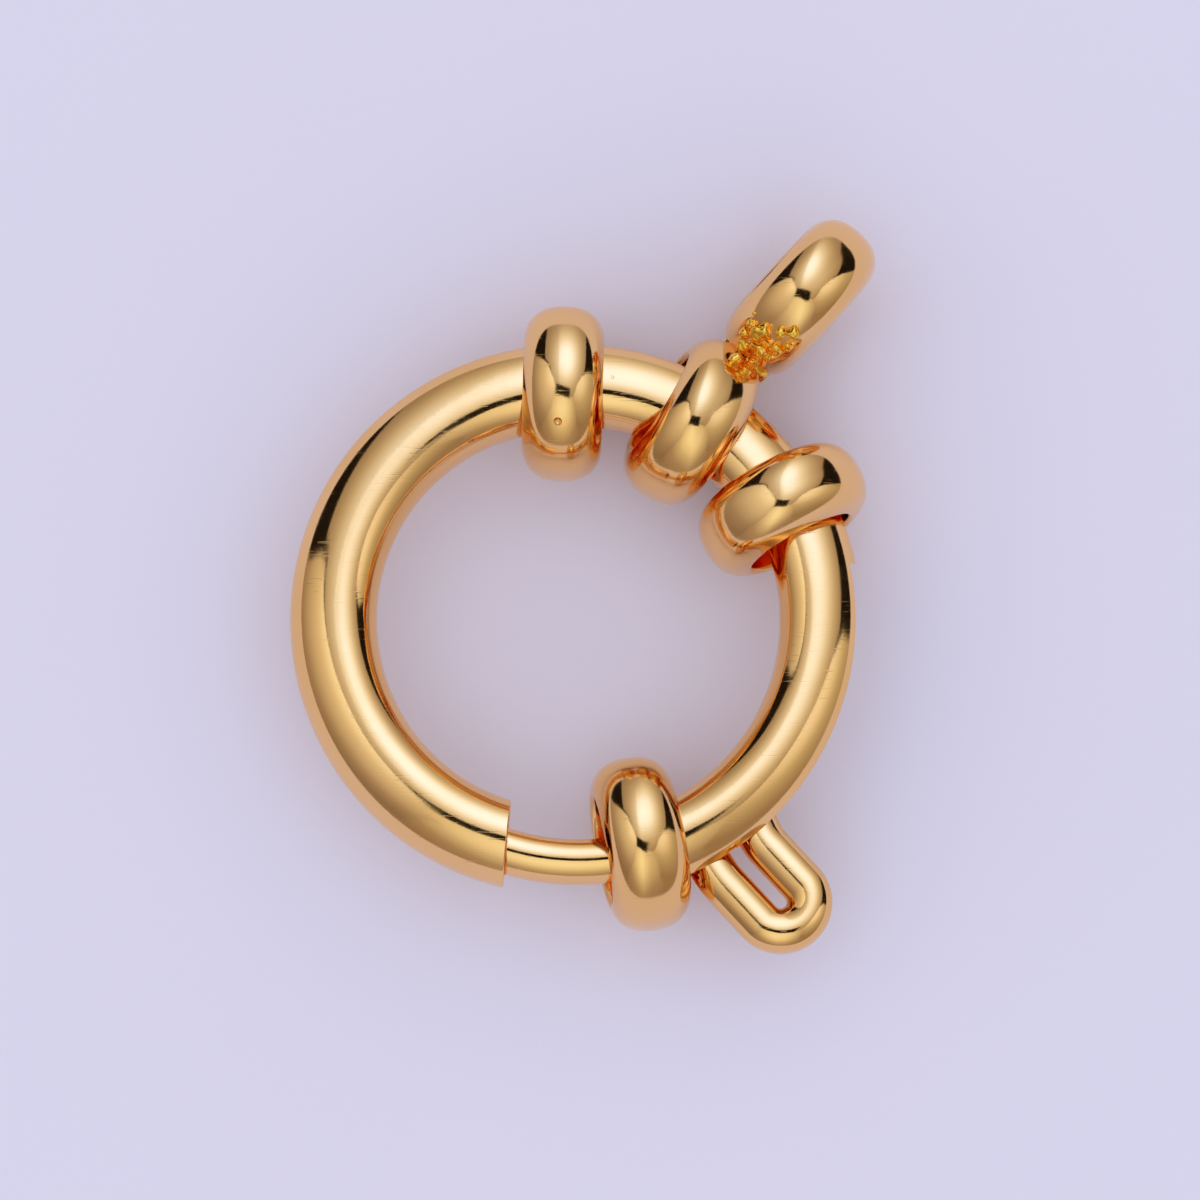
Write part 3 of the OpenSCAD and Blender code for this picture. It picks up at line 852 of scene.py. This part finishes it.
def paint_panels(w, u, v):
    """Bright light behind the clasp, dimmer panels beside and before it, and dark gaps between them."""
    light = {name: glow(w, u, v, *look) for name, look in PANEL_GLOWS.items()}
    light["back"] = w.mix(w.math("MULTIPLY", w.step(u, *DIM_FROM_TO), DIM_SHARE), light["back"], DIM)
    light["gap"] = GAP
    out = w.hypot(u, v)
    turn = w.math("ARCTAN2", u, w.math("MULTIPLY", v, -1.0))
    paint = light["back"]
    for name, edge in PANEL_EDGES:
        past = w.math("SUBTRACT", turn, edge_curve(w, out, edge))
        paint = w.mix(w.step(past, -EDGE_SOFTNESS, EDGE_SOFTNESS), paint, light[name])
    return paint


def paint_strip(w, u, v, paint):
    """The light with the dark strip straight above the clasp."""
    x, y = w.math("SUBTRACT", u, STRIP_AT[0]), w.math("SUBTRACT", v, STRIP_AT[1])
    cos, sin = math.cos(STRIP_TURN), math.sin(STRIP_TURN)
    along = w.math("SUBTRACT", w.math("MULTIPLY", x, cos), w.math("MULTIPLY", y, sin))
    across = w.math("ADD", w.math("MULTIPLY", x, sin), w.math("MULTIPLY", y, cos))
    shares = [w.math("DIVIDE", w.math("ABSOLUTE", far), half)
              for far, half in zip((along, across), STRIP_HALF)]
    return w.mix(w.step(w.math("MAXIMUM", *shares), *STRIP_SOFT), GAP, paint)


def paint_light(strength, daylight, tilt):
    """Soft light all round, turned by the tilt. Mirrors show its panels, its dark strip and its horizon, and
    the camera and whatever is dull see plain daylight."""
    world = bpy.data.worlds.new("soft_light")
    bpy.context.scene.world = world
    world.use_nodes = True
    world.cycles.sampling_method = "NONE"
    world.node_tree.nodes.clear()
    w = Wiring(world.node_tree)
    towards = w.add("ShaderNodeTexCoord").outputs["Generated"]
    seen = w.add("ShaderNodeVectorRotate", rotation_type="X_AXIS", named={"Vector": towards, "Angle": -tilt})
    lean = w.add("ShaderNodeVectorMath", w.add("ShaderNodeVectorMath", seen, (0, 0, 1), operation="ADD"),
                 operation="NORMALIZE")
    flat_u, v, _ = w.add("ShaderNodeSeparateXYZ", lean).outputs
    full_u = w.math("POWER", w.math("ABSOLUTE", flat_u), 1 / FULL_SIDES)
    u = w.math("MULTIPLY", w.math("SIGN", flat_u), full_u)
    paint = paint_strip(w, u, v, paint_panels(w, u, v))
    down = w.math("MULTIPLY", w.add("ShaderNodeSeparateXYZ", towards).outputs[2], -1.0)
    paint = w.mix(w.step(down, *HORIZON_FROM_TO), paint, HORIZON)
    light = w.add("ShaderNodeBackground", paint, strength * LIGHT_SCALE)
    plain = w.add("ShaderNodeBackground", tuple(daylight) + (1,), strength)
    sent = w.add("ShaderNodeLightPath").outputs
    dull = w.math("MAXIMUM", sent["Is Camera Ray"], w.math("GREATER_THAN", sent["Diffuse Depth"], 0.5))
    w.add("ShaderNodeOutputWorld", w.add("ShaderNodeMixShader", dull, light, plain))


# Operators

class CLASP_OT_ring_tubes(bpy.types.Operator):
    """Make the catch tube, the neck and the slotted barrel"""
    bl_idname = "clasp.ring_tubes"
    bl_label = "Ring tubes"

    def execute(self, context):
        clasp = context.scene.clasp
        t, tree = clasp.tubes, bent_tube_tree()
        rows = [
            ("barrel", t.barrel, t.barrel_bore, t.slide_radius, 0.0, t.barrel_from, t.barrel_to, 0.0),
            ("neck", t.neck, t.neck_bore, t.slide_radius - t.neck_inset, 0.0, t.barrel_to - JOINT_LAP,
             t.neck_to, 0.0),
            ("catch_tube", t.catch, t.catch_bore, t.catch_radius, -t.catch_shift, t.catch_from, t.catch_to,
             t.catch_skew),
        ]
        for name, outside, bore, bend, centre_x, start, end, skew in rows:
            long = (end - start) * bend
            piece = grown(name, tube_outline(long, outside, bore, t.lip), True, tree, {
                "Closed": 1, "Sides": t.sides, "Length": long, "Bend radius": bend, "Bend centre X": centre_x,
                "Start angle": start, "Lift": 0.0, "End skew": skew, "Slotted": name == "barrel",
                "Slot from": (t.slot_from - start) * bend, "Slot to": (t.slot_to - start) * bend,
                "Slot width": t.slot_width, "Slot floor": t.slot_floor, "Slot lift": -clasp.gate.sink,
                "Saw radius": t.saw, "Crown inset": t.crown, "Outer radius": outside / 2,
                "Material": gold()})
            tidy_faces(piece)
            if name == "neck":
                pitted(piece, *PUNCH_MARK)
            true_round(piece, centre_x, bend, t.crown, outside / 2)
            tilted_shine(piece, clasp.stage.tilt, ring_arc(centre_x, bend, start, end))
            keep(piece, "ring", "ring_tube")
        return {"FINISHED"}


def make_bead(name, place, turn, roll, tree):
    """A gold bead in the ring's plane, its long side turned and rolled by degrees."""
    sizes = bpy.context.scene.clasp.beads
    stand = (Matrix.Rotation(math.radians(turn), 3, "Z") @ Matrix.Rotation(math.radians(90 + roll), 3, "X")
             @ Matrix.Rotation(math.radians(-90), 3, "Y")).to_euler()
    bead = grown(name, bead_outline(sizes), True, tree, {
        "Sides": sizes.sides, "Place": (place[0], place[1], 0.0), "Turn": tuple(stand), "Material": gold()})
    tidy_faces(bead)
    return bead


class CLASP_OT_ring_beads(bpy.types.Operator):
    """Make the three beads on the ring"""
    bl_idname = "clasp.ring_beads"
    bl_label = "Ring beads"

    def execute(self, context):
        tree = bead_tree()
        for name, (place, turn, roll) in RING_BEADS.items():
            bead = make_bead(name + "_gold", place, turn, roll, tree)
            if name == "top_bead":
                pitted(bead, *BEAD_PIT)
            tilted_shine(bead, context.scene.clasp.stage.tilt)
            keep(bead, "ring", name)
        return {"FINISHED"}


def solder_points(beads):
    """Middle and radius of each lump of solder, set on the upper and lower face of the beads it lies on."""
    work = bmesh.new()
    for bead in beads:
        work.from_mesh(bead.data)
    faces = BVHTree.FromBMesh(work)
    work.free()
    inner, eye = (Vector(place) for place, turn, roll in BAIL_BEADS.values())
    points = [(*(inner + eye) / 2, SOLDER_BALL / 2)]
    for x, y, radius, lift in SOLDER_LUMPS:
        for side in (1, -1):
            hit = faces.ray_cast(Vector((x * MM, y * MM, side * DROP_FROM)), Vector((0, 0, -side)))[0]
            carried = side * hit.z if hit else 0.0
            height = max(carried + lift * MM, SOLDER_LOWEST)
            points.append((x * MM, y * MM, side * height, radius * MM))
    return points


class CLASP_OT_bail(bpy.types.Operator):
    """Make the bail: two beads and the solder between them"""
    bl_idname = "clasp.bail"
    bl_label = "Bail"

    def execute(self, context):
        tree = bead_tree()
        parts = [make_bead("bail_" + name, *stand, tree) for name, stand in BAIL_BEADS.items()]
        solder = grown("bail_solder", solder_points(parts), False, solder_tree(), {
            "Voxel": 0.03 * MM, "Lump size": 0.38 * MM, "Lump height": 0.38 * MM, "Blur": 9,
            "Material": gold("solder")})
        tidy_faces(solder, 60)
        for part in parts + [solder]:
            tilted_shine(part, context.scene.clasp.stage.tilt)
            keep(part, "bail", "bail")
        return {"FINISHED"}


class CLASP_OT_gate(bpy.types.Operator):
    """Make the sliding gate wire and its trigger loop"""
    bl_idname = "clasp.gate"
    bl_label = "Gate"

    def execute(self, context):
        clasp = context.scene.clasp
        gate, radius = clasp.gate, clasp.tubes.slide_radius
        long = (gate.tail_at - gate.tip_at) * radius
        outline = wire_outline(long, gate.wire, gate.taper, WIRE_LIP)
        wire = grown("gate_wire_gold", outline, False, bent_tube_tree(), {
            "Closed": 0, "Sides": WIRE_SIDES, "Length": long, "Bend radius": radius, "Bend centre X": 0.0,
            "Start angle": gate.tip_at, "Lift": -gate.sink, "End skew": 0.0, "Slotted": False,
            "Crown inset": clasp.tubes.crown / 2, "Outer radius": gate.wire / 2, "Material": gold()})
        tidy_faces(wire)
        tilted_shine(wire, clasp.stage.tilt, ring_arc(0.0, radius, gate.tip_at, gate.tail_at, -gate.sink))
        keep(wire, "gate", "gate_wire")
        path = trigger_path(gate, radius)
        trigger = grown("trigger_loop_gold", path, False, wire_tree(), {
            "Diameter": gate.wire, "Sides": WIRE_SIDES, "Material": gold()})
        tidy_faces(trigger)
        tilted_shine(trigger, clasp.stage.tilt, path)
        keep(trigger, "gate", "trigger_loop")
        return {"FINISHED"}


class CLASP_OT_spring(bpy.types.Operator):
    """Make the coil spring"""
    bl_idname = "clasp.spring"
    bl_label = "Spring"

    def execute(self, context):
        clasp = context.scene.clasp
        sizes, radius = clasp.spring, clasp.tubes.slide_radius
        spring = grown("spring_coil", [(0, 0, 0), (MM, 0, 0)], False, spring_tree(), {
            "Wire diameter": sizes.wire, "Coil radius": sizes.coil, "Turns": sizes.turns,
            "Slide radius": radius, "Start angle": sizes.start_at, "End angle": sizes.stop_at,
            "Material": steel_finish()})
        tidy_faces(spring)
        keep(spring, None, "spring")
        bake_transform(spring)
        return {"FINISHED"}


class CLASP_OT_stage(bpy.types.Operator):
    """Make the floor, the light and the camera"""
    bl_idname = "clasp.stage"
    bl_label = "Stage"

    def execute(self, context):
        look = context.scene.clasp.stage
        level = CAD_BOX[0][2] - FLOOR_GAP
        corners = [(x * FLOOR_HALF, y * FLOOR_HALF, level) for x, y in ((-1, -1), (1, -1), (1, 1), (-1, 1))]
        mesh = bpy.data.meshes.new("floor")
        mesh.from_pydata(corners, [], [(0, 1, 2, 3)])
        mesh.materials.append(floor_finish(look.floor))
        floor = bpy.data.objects.new("floor", mesh)
        context.scene.collection.objects.link(floor)
        paint_light(look.strength, look.daylight, look.tilt)
        lens = bpy.data.cameras.new("camera")
        lens.lens, lens.sensor_width = look.lens, 36.0
        lens.clip_start, lens.clip_end = 0.01, 20.0
        camera = bpy.data.objects.new("camera", lens)
        camera.location = (*CAMERA_OVER, look.camera_height)
        context.scene.collection.objects.link(camera)
        context.scene.camera = camera
        context.scene.view_settings.view_transform = "Standard"
        context.scene.cycles.max_bounces = MIRRORINGS
        context.scene.cycles.glossy_bounces = MIRRORINGS
        return {"FINISHED"}


class CLASP_PT_parts(bpy.types.Panel):
    """Sidebar panel with the clasp's pieces and sizes"""
    bl_idname = "CLASP_PT_parts"
    bl_label = "Spring ring clasp"
    bl_space_type = "VIEW_3D"
    bl_region_type = "UI"
    bl_category = "Clasp"

    def draw(self, context):
        for step in OPERATORS:
            self.layout.operator(step.bl_idname)
        clasp = context.scene.clasp
        for group in (clasp.tubes, clasp.beads, clasp.gate, clasp.spring, clasp.gold, clasp.stage):
            box = self.layout.box()
            for key in group.__annotations__:
                box.prop(group, key)


GROUPS = [TubeSizes, BeadSizes, GateSizes, SpringSizes, GoldLook, StageLook, ClaspSettings]
OPERATORS = [CLASP_OT_ring_tubes, CLASP_OT_ring_beads, CLASP_OT_bail, CLASP_OT_gate, CLASP_OT_spring,
             CLASP_OT_stage]


def register():
    for item in GROUPS + OPERATORS + [CLASP_PT_parts]:
        bpy.utils.register_class(item)
    bpy.types.Scene.clasp = PointerProperty(type=ClaspSettings)


def unregister():
    del bpy.types.Scene.clasp
    for item in reversed(GROUPS + OPERATORS + [CLASP_PT_parts]):
        bpy.utils.unregister_class(item)


def main():
    register()
    for step in OPERATORS:
        family, name = step.bl_idname.split(".")
        if getattr(getattr(bpy.ops, family), name)() != {"FINISHED"}:
            raise RuntimeError(step.bl_label + " could not be made")


if __name__ == "__main__":
    main()
